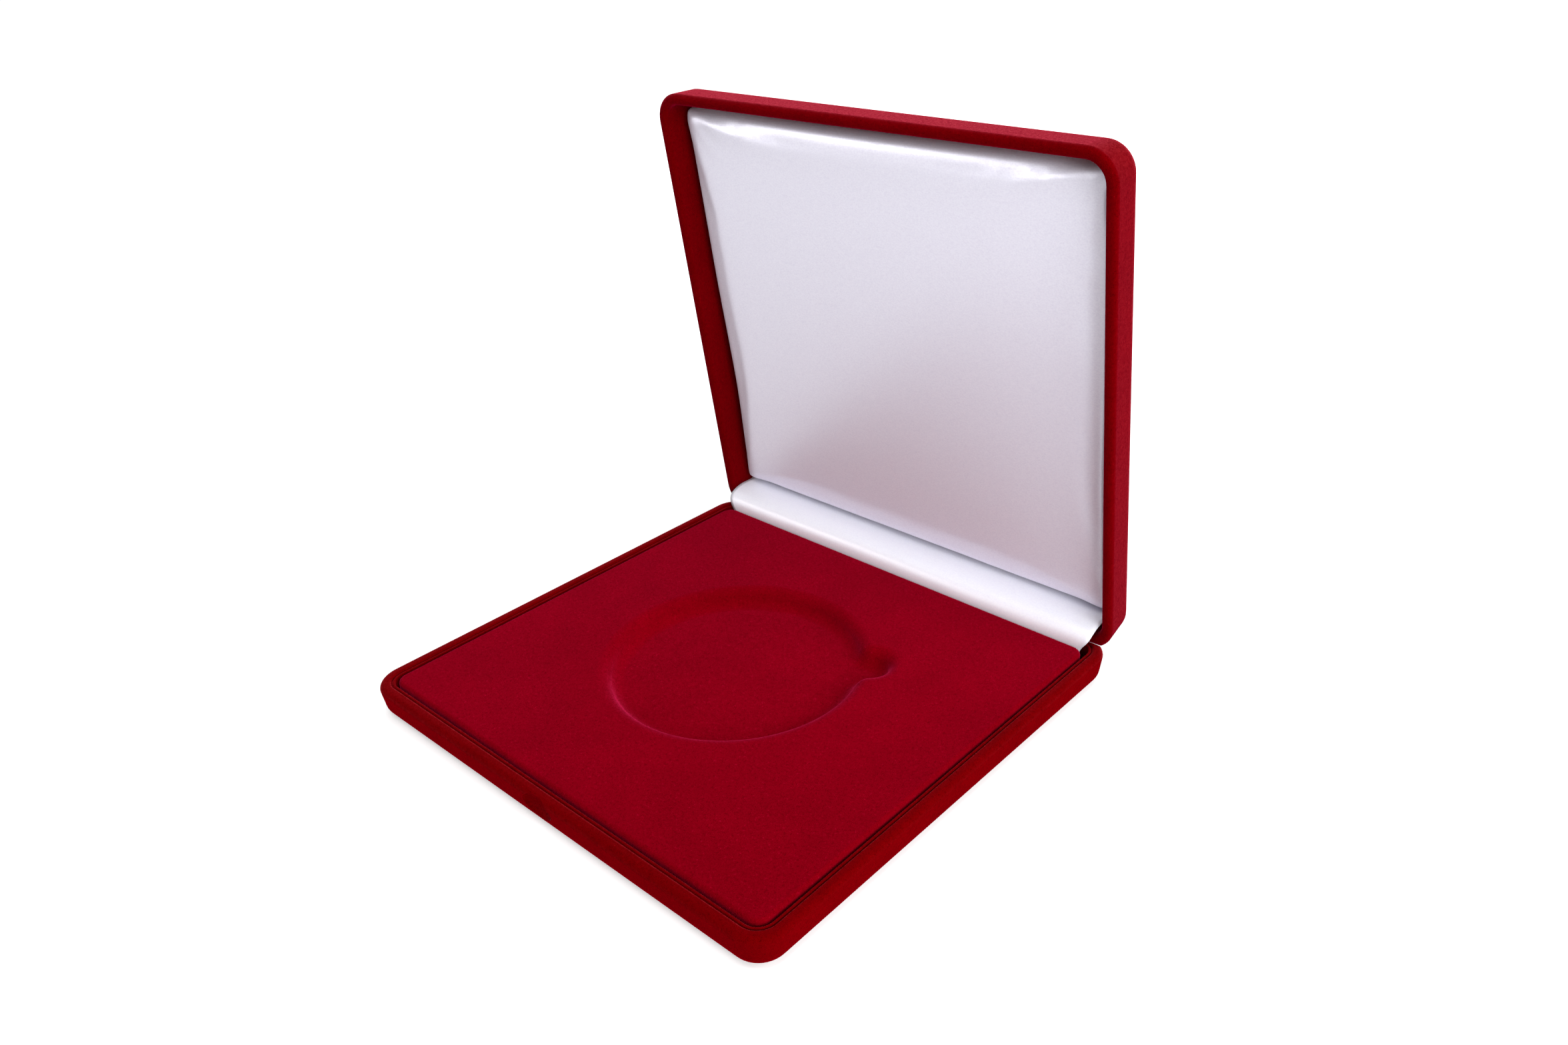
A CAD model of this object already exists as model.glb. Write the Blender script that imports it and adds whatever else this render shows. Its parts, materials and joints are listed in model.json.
import json
import math

import bmesh
import bpy
from mathutils import Matrix, Vector, noise


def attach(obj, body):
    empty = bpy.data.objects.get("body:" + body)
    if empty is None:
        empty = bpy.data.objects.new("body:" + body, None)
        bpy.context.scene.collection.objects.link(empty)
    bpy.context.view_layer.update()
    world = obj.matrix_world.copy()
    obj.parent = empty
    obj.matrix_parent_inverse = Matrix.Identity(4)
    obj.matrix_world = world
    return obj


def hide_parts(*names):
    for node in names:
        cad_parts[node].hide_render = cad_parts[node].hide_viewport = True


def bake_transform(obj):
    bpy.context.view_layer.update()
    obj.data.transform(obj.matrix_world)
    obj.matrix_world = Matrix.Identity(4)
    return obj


# Looks of the flocked medal case: flock on the shells and the tray, a stuffed satin pad in the lid, a satin
# ribbon over the hinge and the hinge's flat spring. Lengths are in metres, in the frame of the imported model.

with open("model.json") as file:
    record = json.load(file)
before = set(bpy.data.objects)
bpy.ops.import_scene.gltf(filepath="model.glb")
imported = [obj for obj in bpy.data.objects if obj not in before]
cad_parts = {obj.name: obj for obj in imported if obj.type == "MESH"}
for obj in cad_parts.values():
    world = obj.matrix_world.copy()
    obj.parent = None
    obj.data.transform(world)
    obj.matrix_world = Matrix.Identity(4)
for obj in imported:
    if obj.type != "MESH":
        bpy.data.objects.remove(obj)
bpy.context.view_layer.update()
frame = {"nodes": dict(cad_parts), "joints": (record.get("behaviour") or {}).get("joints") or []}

MM = 0.001
WHITE = (1.0, 1.0, 1.0, 1.0)

# Hinge and the directions of the open lid, along it from the hinge and into its depth
hinge_joint = frame["joints"][0]
HINGE = Vector(hinge_joint["pos_m"])
OPEN_ANGLE = math.radians(hinge_joint["range_deg"][1])
ALONG = Vector((0.0, -math.cos(OPEN_ANGLE), math.sin(OPEN_ANGLE)))
DEPTH = Vector((0.0, math.sin(OPEN_ANGLE), math.cos(OPEN_ANGLE)))

# Pad in the lid: half width, both ends along the lid, the depths of its back and its face, and its roundings
PAD_SIDE = 66.2 * MM
PAD_LOW = 5.45 * MM
PAD_HIGH = 124.2 * MM
PAD_BACK = 10.45 * MM
PAD_FACE = 5.0 * MM
PAD_CORNER = 2.2 * MM
PAD_EDGE = 2.3 * MM
PAD_ROUND_STEPS = 5
PAD_MIDDLE = (PAD_LOW + PAD_HIGH) / 2
PAD_HALF = (PAD_HIGH - PAD_LOW) / 2

# How far the pad's sides and top end are drawn in between the corners, and where its sides are drawn in most
PAD_BOW = 0.9 * MM
PAD_TOP_BOW = 0.5 * MM
PAD_BOW_MIDDLE = -0.38
PAD_BOW_SPREAD = 0.34

# Swelling of the pad by cloth pressure: size of its cells, pressure, cap on the movement, and frames
PAD_VOXEL = 1.5 * MM
PAD_PRESSURE = 4.0
PAD_SWELL = 0.55 * MM
PAD_FRAMES = 20
PAD_HELD_SHARE = 0.3

# Slack of the satin on the pad's face, which starts this far above its back, and the roll at its top end
FACE_START = 2 * MM
EDGE_WAVE = 0.1 * MM
EDGE_WAVE_COUNT = 55
BROAD_WAVE = 0.12 * MM
BROAD_WAVE_COUNT = 16
PAD_TOP_FALL = 1.3 * MM
PAD_TOP_REACH = 4.0 * MM

# Folds at the pad's corners: an ear, and pleats that run in from it, each with its angle, spread and depth
FOLD_REACH = 9 * MM
PAD_EAR = 0.8 * MM
EAR_REACH = 2.2 * MM
EAR_RISE_SHARE = 0.35
PAD_PLEAT = 0.22 * MM
PLEAT_MIDDLE = 3.0 * MM
PLEAT_SPREAD = 2.0 * MM
PLEATS = ((0.95, 0.16, 1.0), (0.5, 0.13, 0.6))

# Ribbon over the hinge: points behind and above the hinge axis in mm, from its foot to its end under the pad,
# then half its width, what its end and its foot differ from that in mm, its grid, and where it starts and
# ends to follow the lid
RIBBON_POINTS = (
    (-3.85, -5.75), (-3.85, -4.0), (-3.9, -2.0), (-3.95, -0.6), (-3.9, 0.6), (-3.65, 1.8), (-3.1, 3.0),
    (-2.3, 3.9), (-1.2, 4.55), (0.0, 5.0), (1.2, 5.3), (2.6, 5.5), (4.2, 5.55), (5.8, 5.6), (7.4, 5.75),
    (8.6, 5.95),
)
RIBBON_SIDE = 65.4 * MM
RIBBON_END_SPARE = 0.5
RIBBON_TAPER = 3.0
RIBBON_THICKNESS = 0.25 * MM
RIBBON_ROWS = 96
RIBBON_COLUMNS = 64
LINE_STEPS = 12

# Flat spring over the hinge's barrel: half width, outer radius, thickness, drop to its foot, reach on the lid
SPRING_SIDE = 7.0 * MM
SPRING_RADIUS = 2.25 * MM
SPRING_THICKNESS = 0.3 * MM
SPRING_DROP = 5.0 * MM
SPRING_FLANGE = 6.0 * MM
SPRING_STEPS = 20

# Flock: fibre tips, tufts and clouds of nap to a metre, its darkening where it is seen head-on, how strongly
# it pales at a low angle and how late that sets in, and the rise of its normal at which that is full
FLOCK_TIPS = 3600.0
FLOCK_TUFTS = 1300.0
FLOCK_NAP = 70.0
FLOCK_HEAD_ON = (0.84, 0.82, 0.62, 1.0)
FLOCK_SHEEN = 1.25
FLOCK_SHEEN_POWER = 4.5
FLOCK_SHEEN_RISE = 0.45

# Slant of the satin's threads, and its flecks to a metre
THREAD_SLANT = math.radians(38)
SATIN_FLECKS = 2600.0

# Floor, and the share of white that it adds where it is looked at, beside the case and from a step away
FLOOR_SIZE = 8.0
FLOOR_GAP = 0.02 * MM
FLOOR_COLOUR = (0.8, 0.8, 0.8, 1.0)
FLOOR_GLOW_NEAR = 0.45
FLOOR_GLOW_FAR = 0.95
FLOOR_NEAR = 0.12
FLOOR_FAR = 0.5

# Level of the surround, and the lamps: name, place, where each looks, width, watts, and if it only adds gloss
SURROUND_LEVEL = 0.1
CASE_MIDDLE = (0.0, 0.02, 0.04)
LAMPS = (
    ("over", (0.05, -0.15, 0.85), CASE_MIDDLE, 0.6, 4.8, False),
    ("right", (0.66, -0.28, 0.3), CASE_MIDDLE, 0.4, 4.1, False),
    ("right_rear", (0.65, 0.3, 0.4), CASE_MIDDLE, 0.4, 2.6, False),
    ("near", (0.45, -0.6, 0.35), (0.0, 0.05, 0.05), 0.4, 0.4, False),
    ("left_front", (-0.62, -0.68, 0.28), (0.0, 0.05, 0.12), 0.22, 2.6, True),
    ("rear", (-0.35, 0.8, 0.45), CASE_MIDDLE, 0.5, 2.4, False),
)

# Camera at the photograph's angle, from a fit of the case's outline: focal length and centre in its pixels
PHOTO_WIDTH = 2352
PHOTO_HEIGHT = 1568
CAMERA_PLACE = Vector((193.22, -176.77, 189.32)) * MM
CAMERA_FOCAL = 1836.74
CAMERA_CENTRE = (1261.42, 770.0)
CAMERA_YAW = -0.7294
CAMERA_PITCH = 0.48566
CAMERA_ROLL = -0.03283
SENSOR_WIDTH = 36.0
NEAREST_SEEN = 0.01


def colour(red, green, blue):
    """Linear colour from the usual 0 to 255 steps of a screen."""
    steps = [step / 255.0 for step in (red, green, blue)]
    return tuple(s / 12.92 if s <= 0.04045 else ((s + 0.055) / 1.055) ** 2.4 for s in steps) + (1.0,)


def grey(level):
    return (level, level, level, 1.0)


def new_material(name):
    """Material with a principled shader, its nodes and the place on the piece that patterns follow."""
    material = bpy.data.materials.new(name)
    material.use_nodes = True
    tree = material.node_tree
    tree.nodes.clear()
    output = tree.nodes.new("ShaderNodeOutputMaterial")
    shader = tree.nodes.new("ShaderNodeBsdfPrincipled")
    tree.links.new(shader.outputs["BSDF"], output.inputs["Surface"])
    place = tree.nodes.new("ShaderNodeTexCoord").outputs["Object"]
    return material, tree, shader, place


def noise_at(tree, place, scale, detail, roughness):
    node = tree.nodes.new("ShaderNodeTexNoise")
    node.inputs["Scale"].default_value = scale
    node.inputs["Detail"].default_value = detail
    node.inputs["Roughness"].default_value = roughness
    tree.links.new(place, node.inputs["Vector"])
    return node.outputs["Fac"]


def stretched(tree, place, scale, turn=(0.0, 0.0, 0.0)):
    """The place scaled by a different amount along each axis, for threads and grain."""
    node = tree.nodes.new("ShaderNodeMapping")
    node.inputs["Scale"].default_value = scale
    node.inputs["Rotation"].default_value = turn
    tree.links.new(place, node.inputs["Vector"])
    return node.outputs["Vector"]


def ramp(tree, value, stops):
    node = tree.nodes.new("ShaderNodeValToRGB")
    elements = node.color_ramp.elements
    while len(elements) < len(stops):
        elements.new(0.5)
    for element, (position, tint) in zip(elements, stops):
        element.position = position
        element.color = tint
    tree.links.new(value, node.inputs["Fac"])
    return node.outputs["Color"]


def fill(tree, socket, value):
    """Link a socket to another one, or set it to a plain value."""
    if isinstance(value, bpy.types.NodeSocket):
        tree.links.new(value, socket)
    else:
        socket.default_value = value


def math_node(tree, operation, first, second):
    node = tree.nodes.new("ShaderNodeMath")
    node.operation = operation
    fill(tree, node.inputs[0], first)
    fill(tree, node.inputs[1], second)
    return node.outputs["Value"]


def sum_of(tree, first, share, second):
    """Two values added, the first with its share and the second with the rest."""
    one = math_node(tree, "MULTIPLY", first, share)
    other = math_node(tree, "MULTIPLY", second, 1.0 - share)
    return math_node(tree, "ADD", one, other)


def mix_colours(tree, share, first, second, blend="MIX"):
    """Mix node for colours, whose sockets share their names with its other types."""
    node = tree.nodes.new("ShaderNodeMix")
    node.data_type = "RGBA"
    node.blend_type = blend
    inputs = [socket for socket in node.inputs if socket.type == "RGBA"]
    fill(tree, node.inputs[0], share)
    fill(tree, inputs[0], first)
    fill(tree, inputs[1], second)
    return next(socket for socket in node.outputs if socket.type == "RGBA")


def bump(tree, shader, height, strength, distance):
    node = tree.nodes.new("ShaderNodeBump")
    node.inputs["Strength"].default_value = strength
    node.inputs["Distance"].default_value = distance
    tree.links.new(height, node.inputs["Height"])
    tree.links.new(node.outputs["Normal"], shader.inputs["Normal"])


def map_range(tree, value, lowest, highest):
    """Map node from the lowest to the highest value onto nothing to one."""
    node = tree.nodes.new("ShaderNodeMapRange")
    node.inputs["From Min"].default_value = lowest
    node.inputs["From Max"].default_value = highest
    tree.links.new(value, node.inputs["Value"])
    return node


def upward(tree, lowest):
    """One where a surface looks up, falling to nothing where its normal's rise is at the lowest."""
    parts = tree.nodes.new("ShaderNodeSeparateXYZ")
    tree.links.new(tree.nodes.new("ShaderNodeNewGeometry").outputs["Normal"], parts.inputs["Vector"])
    return map_range(tree, parts.outputs["Z"], lowest, FLOCK_SHEEN_RISE).outputs["Result"]


def flock_material(name, deep, main, pale, grazing, lowest, fuzz):
    """Short dense flock: fine speckle of fibre tips, soft cloudy nap, and a pale sheen at low angles.

    lowest is the rise of the normal below which nothing pales, and fuzz is the tint of the sheen.
    """
    material, tree, shader, place = new_material(name)
    tips = noise_at(tree, place, FLOCK_TIPS, 2.0, 0.7)
    tufts = noise_at(tree, place, FLOCK_TUFTS, 2.0, 0.6)
    nap = noise_at(tree, place, FLOCK_NAP, 5.0, 0.65)
    pile = sum_of(tree, tips, 0.6, tufts)
    tint = ramp(tree, pile, ((0.3, deep), (0.5, main), (0.6, main), (0.72, pale)))
    cloud = ramp(tree, nap, ((0.3, (0.84, 0.84, 0.8, 1.0)), (0.7, WHITE)))
    tint = mix_colours(tree, 1.0, tint, cloud, "MULTIPLY")
    weight = tree.nodes.new("ShaderNodeLayerWeight")
    weight.inputs["Blend"].default_value = 0.5
    facing = weight.outputs["Facing"]
    depth = ramp(tree, facing, ((0.0, FLOCK_HEAD_ON), (0.42, WHITE)))
    tint = mix_colours(tree, 1.0, tint, depth, "MULTIPLY")
    low_angle = math_node(tree, "POWER", facing, FLOCK_SHEEN_POWER)
    sheen = math_node(tree, "MULTIPLY", low_angle, upward(tree, lowest))
    patchy = ramp(tree, pile, ((0.38, grey(0.3)), (0.62, WHITE)))
    sheen = math_node(tree, "MULTIPLY", sheen, patchy)
    speckle = ramp(tree, pile, ((0.3, (0.72, 0.62, 0.62, 1.0)), (0.66, WHITE)))
    shine = mix_colours(tree, 1.0, speckle, grazing, "MULTIPLY")
    tint = mix_colours(tree, math_node(tree, "MULTIPLY", sheen, FLOCK_SHEEN), tint, shine)
    tree.links.new(tint, shader.inputs["Base Color"])
    rough = ramp(tree, tufts, ((0.3, grey(0.85)), (0.7, WHITE)))
    tree.links.new(rough, shader.inputs["Roughness"])
    bump(tree, shader, pile, 0.45, 0.25 * MM)
    shader.inputs["Specular IOR Level"].default_value = 0.0
    shader.inputs["Sheen Weight"].default_value = 0.3
    shader.inputs["Sheen Roughness"].default_value = 0.35
    shader.inputs["Sheen Tint"].default_value = fuzz
    return material


def satin_material(name, main, shade, thread_scale, roughness, glints, gloss):
    """Satin: close slanting threads, small bright glints between them and a smooth soft gloss."""
    material, tree, shader, place = new_material(name)
    slanting = stretched(tree, place, thread_scale, (0.0, THREAD_SLANT, 0.0))
    threads = noise_at(tree, slanting, 1.0, 2.0, 0.6)
    flecks = noise_at(tree, place, SATIN_FLECKS, 1.0, 0.6)
    weave = sum_of(tree, threads, 0.6, flecks)
    tint = ramp(tree, weave, ((0.3, shade), (0.6, main)))
    tree.links.new(tint, shader.inputs["Base Color"])
    rough = ramp(tree, weave, ((0.3, grey(roughness + glints)), (0.7, grey(roughness - glints))))
    tree.links.new(rough, shader.inputs["Roughness"])
    bump(tree, shader, weave, 0.25, 0.06 * MM)
    shader.inputs["Metallic"].default_value = gloss
    shader.inputs["Specular IOR Level"].default_value = 0.55
    shader.inputs["Sheen Weight"].default_value = 0.1
    shader.inputs["Sheen Roughness"].default_value = 0.4
    shader.inputs["Sheen Tint"].default_value = (1.0, 0.97, 1.0, 1.0)
    return material


def steel_material(name):
    """Plated steel with fine drawn lines along the hinge and faint clouding."""
    material, tree, shader, place = new_material(name)
    lines = noise_at(tree, stretched(tree, place, (120.0, 5200.0, 5200.0)), 1.0, 2.0, 0.5)
    clouds = noise_at(tree, place, 160.0, 2.0, 0.5)
    grain = sum_of(tree, lines, 0.7, clouds)
    tint = ramp(tree, grain, ((0.25, colour(150, 149, 146)), (0.75, colour(198, 198, 196))))
    tree.links.new(tint, shader.inputs["Base Color"])
    rough = ramp(tree, grain, ((0.2, grey(0.42)), (0.8, grey(0.26))))
    tree.links.new(rough, shader.inputs["Roughness"])
    bump(tree, shader, lines, 0.2, 0.02 * MM)
    shader.inputs["Metallic"].default_value = 1.0
    return material


def board_material(name):
    """Grey pressed board with short fibres."""
    material, tree, shader, place = new_material(name)
    fibres = noise_at(tree, stretched(tree, place, (700.0, 1900.0, 1900.0)), 1.0, 3.0, 0.6)
    patches = noise_at(tree, place, 120.0, 2.0, 0.5)
    mash = sum_of(tree, fibres, 0.7, patches)
    tint = ramp(tree, mash, ((0.3, colour(128, 116, 100)), (0.7, colour(172, 160, 142))))
    tree.links.new(tint, shader.inputs["Base Color"])
    bump(tree, shader, fibres, 0.3, 0.05 * MM)
    shader.inputs["Roughness"].default_value = 0.9
    return material


def lid_place(across, along, depth):
    """Point of the open lid: across the case, along the lid from the hinge, and into its depth."""
    return HINGE + Vector((across, 0.0, 0.0)) + ALONG * along + DEPTH * depth


def mesh_object(name, vertices, faces):
    mesh = bpy.data.meshes.new(name)
    mesh.from_pydata([tuple(v) for v in vertices], [], faces)
    mesh.update()
    piece = bpy.data.objects.new(name, mesh)
    bpy.context.scene.collection.objects.link(piece)
    return piece


def shade_smooth(piece):
    for face in piece.data.polygons:
        face.use_smooth = True


def applied(piece):
    """Bake a piece's modifiers into its mesh."""
    graph = bpy.context.evaluated_depsgraph_get()
    mesh = bpy.data.meshes.new_from_object(piece.evaluated_get(graph))
    old = piece.data
    piece.modifiers.clear()
    piece.data = mesh
    bpy.data.meshes.remove(old)


def round_edges(box, edges, radius):
    bmesh.ops.bevel(box, geom=edges, offset=radius, segments=PAD_ROUND_STEPS, profile=0.5, affect="EDGES")


def pad_start():
    """Slab a little smaller than the pad, with rounded corners and a rounded face edge.

    It lies flat, with X across, Y along the lid and Z up from its back to its face.
    """
    box = bmesh.new()
    bmesh.ops.create_cube(box, size=1.0)
    shrink = PAD_SWELL / 2
    height = PAD_BACK - PAD_FACE - shrink
    for vertex in box.verts:
        vertex.co.x *= 2 * (PAD_SIDE - shrink)
        vertex.co.y = vertex.co.y * (PAD_HIGH - PAD_LOW - 2 * shrink) + PAD_MIDDLE
        vertex.co.z = (vertex.co.z + 0.5) * height
    upright = [e for e in box.edges if abs(e.verts[0].co.z - e.verts[1].co.z) > height / 2]
    round_edges(box, upright, PAD_CORNER)
    face_edges = [e for e in box.edges if min(e.verts[0].co.z, e.verts[1].co.z) > height * 0.9]
    round_edges(box, face_edges, PAD_EDGE)
    mesh = bpy.data.meshes.new("pad")
    box.to_mesh(mesh)
    box.free()
    piece = bpy.data.objects.new("pad", mesh)
    bpy.context.scene.collection.objects.link(piece)
    return piece, height


def draw_in(mesh):
    """Pull the sides in between the corners, most a third of the way up the long sides."""
    for vertex in mesh.vertices:
        x, y = vertex.co.x / PAD_SIDE, (vertex.co.y - PAD_MIDDLE) / PAD_HALF
        low_pull = math.exp(-((y - PAD_BOW_MIDDLE) / PAD_BOW_SPREAD) ** 2)
        vertex.co.x -= (0.55 * PAD_BOW * (1 - y * y) + 0.75 * PAD_BOW * low_pull) * x ** 5
        vertex.co.y -= PAD_TOP_BOW * y ** 5 * (1 - x * x)


def inflate(piece, height):
    """Swell the pad with cloth pressure, its back held, and keep a soft cap on how far it moves."""
    piece.modifiers.new("voxels", "REMESH").voxel_size = PAD_VOXEL
    applied(piece)
    draw_in(piece.data)
    before = [vertex.co.copy() for vertex in piece.data.vertices]
    back = piece.vertex_groups.new(name="back")
    held = [v.index for v in piece.data.vertices if v.co.z < height * PAD_HELD_SHARE]
    back.add(held, 1.0, "REPLACE")
    cloth = piece.modifiers.new("cloth", "CLOTH")
    cloth.settings.quality = 6
    cloth.settings.mass = 0.05
    cloth.settings.tension_stiffness = 25.0
    cloth.settings.compression_stiffness = 25.0
    cloth.settings.shear_stiffness = 12.0
    cloth.settings.bending_stiffness = 2.0
    cloth.settings.use_pressure = True
    cloth.settings.uniform_pressure_force = PAD_PRESSURE
    cloth.settings.effector_weights.gravity = 0.0
    cloth.settings.vertex_group_mass = "back"
    for step in range(1, PAD_FRAMES + 1):
        bpy.context.scene.frame_set(step)
    applied(piece)
    bpy.context.scene.frame_set(1)
    for vertex, start in zip(piece.data.vertices, before):
        move = vertex.co - start
        if move.length > 1e-9:
            vertex.co = start + move * (PAD_SWELL * math.tanh(move.length / PAD_SWELL) / move.length)


def ripple_pad(piece):
    """Slack of the satin: shallow waves, finest along the pad's edges, and a roll at its top end."""
    for vertex in piece.data.vertices:
        x, y = vertex.co.x / PAD_SIDE, (vertex.co.y - PAD_MIDDLE) / PAD_HALF
        near_edge = max(abs(x), abs(y)) ** 6
        wave = noise.noise(Vector((vertex.co.x * EDGE_WAVE_COUNT, vertex.co.y * EDGE_WAVE_COUNT, 3.7)))
        broad = noise.noise(Vector((vertex.co.x * BROAD_WAVE_COUNT, vertex.co.y * BROAD_WAVE_COUNT, 8.1)))
        if vertex.co.z > FACE_START:
            vertex.co.z += EDGE_WAVE * wave * near_edge + BROAD_WAVE * broad
            fall = max(vertex.co.y - PAD_HIGH + PAD_TOP_REACH, 0.0) / PAD_TOP_REACH
            vertex.co.z -= PAD_TOP_FALL * fall ** 2


def fold_corner(vertex, side, end, sign):
    """Move a point near one corner: out with its ear, and down into the pleats that run in from it."""
    inward_x = PAD_SIDE - side * vertex.co.x
    inward_y = (end - vertex.co.y) * sign
    reach = math.hypot(inward_x, inward_y)
    if reach > FOLD_REACH:
        return
    ear = PAD_EAR * math.exp(-(reach / EAR_REACH) ** 2)
    vertex.co.x += side * ear
    vertex.co.y += sign * EAR_RISE_SHARE * ear
    if vertex.co.z > FACE_START:
        turn = math.atan2(inward_y, inward_x)
        fade = math.exp(-((reach - PLEAT_MIDDLE) / PLEAT_SPREAD) ** 2)
        crease = sum(share * math.exp(-((turn - at) / spread) ** 2) for at, spread, share in PLEATS)
        vertex.co.z -= PAD_PLEAT * fade * crease


def fold_corners(piece):
    """Folded satin at the pad's four corners."""
    for vertex in piece.data.vertices:
        for side in (-1, 1):
            for end, sign in ((PAD_LOW, -1), (PAD_HIGH, 1)):
                fold_corner(vertex, side, end, sign)


def make_pad(satin):
    """Stuffed satin pad that fills the lid."""
    piece, height = pad_start()
    inflate(piece, height)
    ripple_pad(piece)
    fold_corners(piece)
    smooth = piece.modifiers.new("smooth", "SUBSURF")
    smooth.levels = 1
    smooth.render_levels = 1
    applied(piece)
    for vertex in piece.data.vertices:
        vertex.co = lid_place(vertex.co.x, vertex.co.y, PAD_BACK - vertex.co.z)
    shade_smooth(piece)
    piece.data.materials.clear()
    piece.data.materials.append(satin)
    piece.name = "lid_pad"
    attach(piece, "lid")
    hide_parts("lid_pad_satin", "lid_pad_foam")


def smooth_line(points, count):
    """Evenly spaced points on a smooth line through the given ones, and the line's length."""
    dense = []
    for index in range(len(points) - 1):
        before = points[max(index - 1, 0)]
        start, end = points[index], points[index + 1]
        after = points[min(index + 2, len(points) - 1)]
        for step in range(LINE_STEPS):
            t = step / LINE_STEPS
            dense.append(0.5 * (
                2 * start + (end - before) * t + (2 * before - 5 * start + 4 * end - after) * t ** 2
                + (3 * start - before - 3 * end + after) * t ** 3))
    dense.append(points[-1])
    lengths = [0.0]
    for first, second in zip(dense, dense[1:]):
        lengths.append(lengths[-1] + (second - first).length)
    line = []
    at = 0
    for step in range(count):
        wanted = lengths[-1] * step / (count - 1)
        while at < len(lengths) - 2 and lengths[at + 1] < wanted:
            at += 1
        span = lengths[at + 1] - lengths[at]
        line.append(dense[at].lerp(dense[at + 1], (wanted - lengths[at]) / span if span else 0.0))
    return line, lengths[-1]


def ribbon_lift(across, share):
    """How far the ribbon stands off its line, in metres: slack waves along it, most on its crown."""
    crown = math.sin(math.pi * min(max((share - 0.3) / 0.6, 0.0), 1.0))
    wave = noise.noise(Vector((across * 28, share * 2.2, 5.3)))
    fine = noise.noise(Vector((across * 75, share * 3.1, 1.9)))
    return (0.32 * wave + 0.1 * fine) * crown * MM


def ribbon_half_width(share):
    """Half the ribbon's width on the way from its foot to its far end, narrower at the foot."""
    foot = 1 / (1 + math.exp((share - 0.3) / 0.05))
    return RIBBON_SIDE + (RIBBON_END_SPARE - RIBBON_TAPER * foot) * MM


def ribbon_sides():
    """Points of the ribbon's outer and inner side, row by row across the case, and its length."""
    line, length = smooth_line([Vector((0.0, y, z)) * MM for y, z in RIBBON_POINTS], RIBBON_COLUMNS)
    normals = []
    for index in range(len(line)):
        forward = line[min(index + 1, len(line) - 1)] - line[max(index - 1, 0)]
        normals.append(Vector((0.0, -forward.z, forward.y)).normalized())
    outer, inner = [], []
    for row in range(RIBBON_ROWS):
        for index, (point, normal) in enumerate(zip(line, normals)):
            share = index / (RIBBON_COLUMNS - 1)
            across = ribbon_half_width(share) * (2 * row / (RIBBON_ROWS - 1) - 1)
            lift = ribbon_lift(across, share)
            place = HINGE + Vector((across, 0.0, 0.0)) + point + normal * lift
            outer.append(place)
            inner.append(place - normal * RIBBON_THICKNESS)
    return outer, inner, length


def ribbon_faces(under):
    """Faces of the ribbon's two sides and its rim, where under is the inner side's first point."""
    faces = []
    for row in range(RIBBON_ROWS - 1):
        for index in range(RIBBON_COLUMNS - 1):
            a = row * RIBBON_COLUMNS + index
            b, c, d = a + 1, a + RIBBON_COLUMNS + 1, a + RIBBON_COLUMNS
            faces.append((a, d, c, b))
            faces.append((under + a, under + b, under + c, under + d))
    rim = list(range(RIBBON_COLUMNS))
    rim += [row * RIBBON_COLUMNS + RIBBON_COLUMNS - 1 for row in range(1, RIBBON_ROWS)]
    rim += [(RIBBON_ROWS - 1) * RIBBON_COLUMNS + index for index in reversed(range(RIBBON_COLUMNS - 1))]
    rim += [row * RIBBON_COLUMNS for row in reversed(range(1, RIBBON_ROWS - 1))]
    for first, second in zip(rim, rim[1:] + rim[:1]):
        faces.append((first, second, under + second, under + first))
    return faces


def face_outwards(piece):
    edit = bmesh.new()
    edit.from_mesh(piece.data)
    bmesh.ops.recalc_face_normals(edit, faces=edit.faces)
    edit.to_mesh(piece.data)
    edit.free()


def make_ribbon(ribbon):
    """Satin ribbon that hides the hinge and bends with the lid."""
    outer, inner, length = ribbon_sides()
    piece = mesh_object("hinge_ribbon", outer + inner, ribbon_faces(len(outer)))
    face_outwards(piece)
    shade_smooth(piece)
    piece.data.materials.append(ribbon)
    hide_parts("hinge_cover")
    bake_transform(piece)


def spring_line(radius):
    """Points of one face of the spring, up from its foot, round the hinge and back along the lid."""
    line = [HINGE + Vector((0.0, -radius, -SPRING_DROP))]
    for step in range(SPRING_STEPS + 1):
        turn = OPEN_ANGLE * step / SPRING_STEPS
        line.append(HINGE + Vector((0.0, -math.cos(turn), math.sin(turn))) * radius)
    line.append(line[-1] + DEPTH * SPRING_FLANGE)
    return line


def make_spring(steel):
    """Spring that flexes over the hinge, so that its far end goes with the lid."""
    outer = spring_line(SPRING_RADIUS)
    inner = spring_line(SPRING_RADIUS - SPRING_THICKNESS)
    side = Vector((SPRING_SIDE, 0.0, 0.0))
    vertices = []
    for near, far in zip(outer, inner):
        vertices += [near - side, near + side, far + side, far - side]
    faces = [(3, 2, 1, 0)]
    for step in range(len(outer) - 1):
        first, second = 4 * step, 4 * step + 4
        for edge in range(4):
            after = (edge + 1) % 4
            faces.append((first + edge, first + after, second + after, second + edge))
    last = 4 * len(outer) - 4
    faces.append((last, last + 1, last + 2, last + 3))
    piece = mesh_object("hinge_spring", vertices, faces)
    piece.data.materials.append(steel)
    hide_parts("snap_spring")
    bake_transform(piece)


def dress_nodes(materials):
    """Give every CAD node its material."""
    for name, finish in (
        ("base_shell", "base"), ("lid_shell", "lid"), ("insert_tray", "tray"),
        ("hinge_base_leaf", "steel"), ("hinge_lid_leaf", "steel"), ("base_rivets", "steel"),
        ("lid_rivets", "steel"), ("hinge_pin", "steel"), ("snap_spring", "steel"),
        ("lid_pad_card", "board"), ("lid_pad_foam", "satin"), ("lid_pad_satin", "satin"),
        ("hinge_cover", "ribbon"),
    ):
        node = frame["nodes"][name]
        node.data.materials.clear()
        node.data.materials.append(materials[finish])


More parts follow.
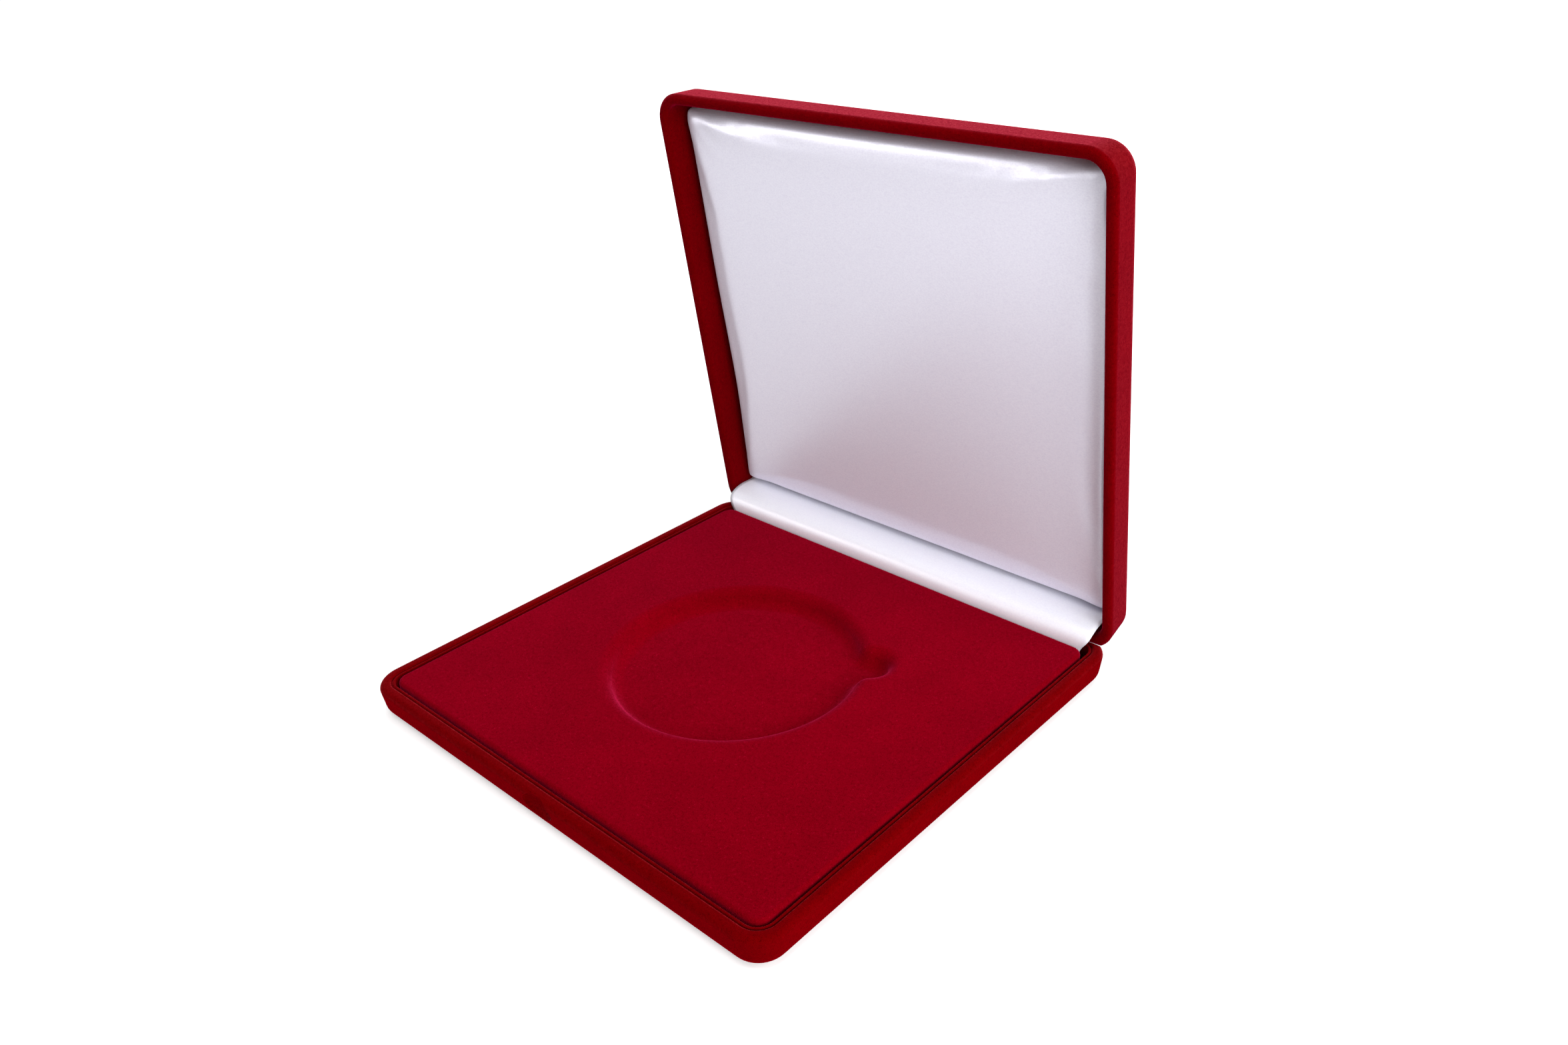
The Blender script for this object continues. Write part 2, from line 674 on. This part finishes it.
def ray_that_shows(tree):
    """One where the background is looked at, straight or in a reflection, and nothing where it lights."""
    path = tree.nodes.new("ShaderNodeLightPath")
    seen = math_node(tree, "MAXIMUM", path.outputs["Is Camera Ray"], path.outputs["Is Glossy Ray"])
    return math_node(tree, "MAXIMUM", seen, path.outputs["Is Transmission Ray"])


def floor_material():
    """Pale matt floor that glows where it is looked at, more so further from the case."""
    material = bpy.data.materials.new("floor")
    material.use_nodes = True
    tree = material.node_tree
    tree.nodes.clear()
    output = tree.nodes.new("ShaderNodeOutputMaterial")
    matt = tree.nodes.new("ShaderNodeBsdfDiffuse")
    matt.inputs["Color"].default_value = FLOOR_COLOUR
    glow = tree.nodes.new("ShaderNodeEmission")
    away = tree.nodes.new("ShaderNodeVectorMath")
    away.operation = "LENGTH"
    tree.links.new(tree.nodes.new("ShaderNodeTexCoord").outputs["Object"], away.inputs[0])
    spread = map_range(tree, away.outputs["Value"], FLOOR_NEAR, FLOOR_FAR)
    spread.inputs["To Min"].default_value = FLOOR_GLOW_NEAR
    spread.inputs["To Max"].default_value = FLOOR_GLOW_FAR
    level = math_node(tree, "MULTIPLY", ray_that_shows(tree), spread.outputs["Result"])
    tree.links.new(level, glow.inputs["Strength"])
    both = tree.nodes.new("ShaderNodeAddShader")
    tree.links.new(matt.outputs["BSDF"], both.inputs[0])
    tree.links.new(glow.outputs["Emission"], both.inputs[1])
    tree.links.new(both.outputs["Shader"], output.inputs["Surface"])
    return material


def add_floor():
    """Floor that keeps the shadow and shows white to the camera where nothing shades it."""
    bpy.ops.mesh.primitive_plane_add(size=FLOOR_SIZE, location=(0.0, 0.0, -FLOOR_GAP))
    floor = bpy.context.object
    floor.name = "floor"
    floor.data.materials.append(floor_material())


def add_world(level):
    """Even studio surround at a plain level, white where it is seen."""
    world = bpy.data.worlds.new("surround")
    bpy.context.scene.world = world
    world.use_nodes = True
    tree = world.node_tree
    tree.nodes.clear()
    output = tree.nodes.new("ShaderNodeOutputWorld")
    back = tree.nodes.new("ShaderNodeBackground")
    strength = math_node(tree, "ADD", math_node(tree, "MULTIPLY", ray_that_shows(tree), 1.0 - level), level)
    back.inputs["Color"].default_value = WHITE
    tree.links.new(strength, back.inputs["Strength"])
    tree.links.new(back.outputs["Background"], output.inputs["Surface"])


def add_lamp(name, place, target, size, watts, only_gloss):
    data = bpy.data.lights.new(name, "AREA")
    data.shape = "SQUARE"
    data.size = size
    data.energy = watts
    lamp = bpy.data.objects.new(name, data)
    lamp.location = place
    lamp.rotation_euler = (Vector(target) - Vector(place)).to_track_quat("-Z", "Y").to_euler()
    lamp.visible_diffuse = not only_gloss
    bpy.context.scene.collection.objects.link(lamp)


def add_camera():
    """Camera whose picture lies on the photograph."""
    level = math.cos(CAMERA_PITCH)
    forward = Vector((math.sin(CAMERA_YAW) * level, math.cos(CAMERA_YAW) * level, -math.sin(CAMERA_PITCH)))
    right = forward.cross(Vector((0.0, 0.0, 1.0))).normalized()
    up = right.cross(forward)
    turned = right * math.cos(CAMERA_ROLL) + up * math.sin(CAMERA_ROLL)
    raised = up * math.cos(CAMERA_ROLL) - right * math.sin(CAMERA_ROLL)
    data = bpy.data.cameras.new("camera")
    data.sensor_fit = "HORIZONTAL"
    data.sensor_width = SENSOR_WIDTH
    data.lens = CAMERA_FOCAL * SENSOR_WIDTH / PHOTO_WIDTH
    data.shift_x = (PHOTO_WIDTH / 2 - CAMERA_CENTRE[0]) / PHOTO_WIDTH
    data.shift_y = (CAMERA_CENTRE[1] - PHOTO_HEIGHT / 2) / PHOTO_WIDTH
    data.clip_start = NEAREST_SEEN
    camera = bpy.data.objects.new("camera", data)
    axes = Matrix((turned, raised, -forward)).transposed()
    camera.matrix_world = Matrix.Translation(CAMERA_PLACE) @ axes.to_4x4()
    bpy.context.scene.collection.objects.link(camera)
    bpy.context.scene.camera = camera


bpy.context.scene.view_settings.view_transform = "Standard"
materials = {
    "lid": flock_material(
        "flock_shell", deep=colour(82, 0, 2), main=colour(111, 0, 5), pale=colour(150, 6, 18),
        grazing=colour(214, 84, 94), lowest=-0.25, fuzz=(1.0, 0.01, 0.12, 1.0)),
    "base": flock_material(
        "flock_base", deep=colour(82, 0, 2), main=colour(111, 0, 4), pale=colour(146, 3, 12),
        grazing=colour(214, 84, 94), lowest=0.05, fuzz=(1.0, 0.0, 0.02, 1.0)),
    "tray": flock_material(
        "flock_tray", deep=colour(100, 0, 8), main=colour(130, 0, 17), pale=colour(174, 8, 46),
        grazing=colour(210, 46, 90), lowest=-0.25, fuzz=(1.0, 0.01, 0.12, 1.0)),
    "satin": satin_material(
        "satin", main=colour(238, 237, 250), shade=colour(228, 226, 242),
        thread_scale=(1700.0, 3400.0, 3400.0), roughness=0.37, glints=0.08, gloss=0.15),
    "ribbon": satin_material(
        "ribbon", main=colour(242, 243, 250), shade=colour(235, 235, 246),
        thread_scale=(1600.0, 4200.0, 4200.0), roughness=0.45, glints=0.04, gloss=0.1),
    "steel": steel_material("plated_steel"),
    "board": board_material("grey_board"),
}
dress_nodes(materials)
make_pad(materials["satin"])
make_ribbon(materials["ribbon"])
make_spring(materials["steel"])
add_floor()
add_world(SURROUND_LEVEL)
for lamp in LAMPS:
    add_lamp(*lamp)
add_camera()
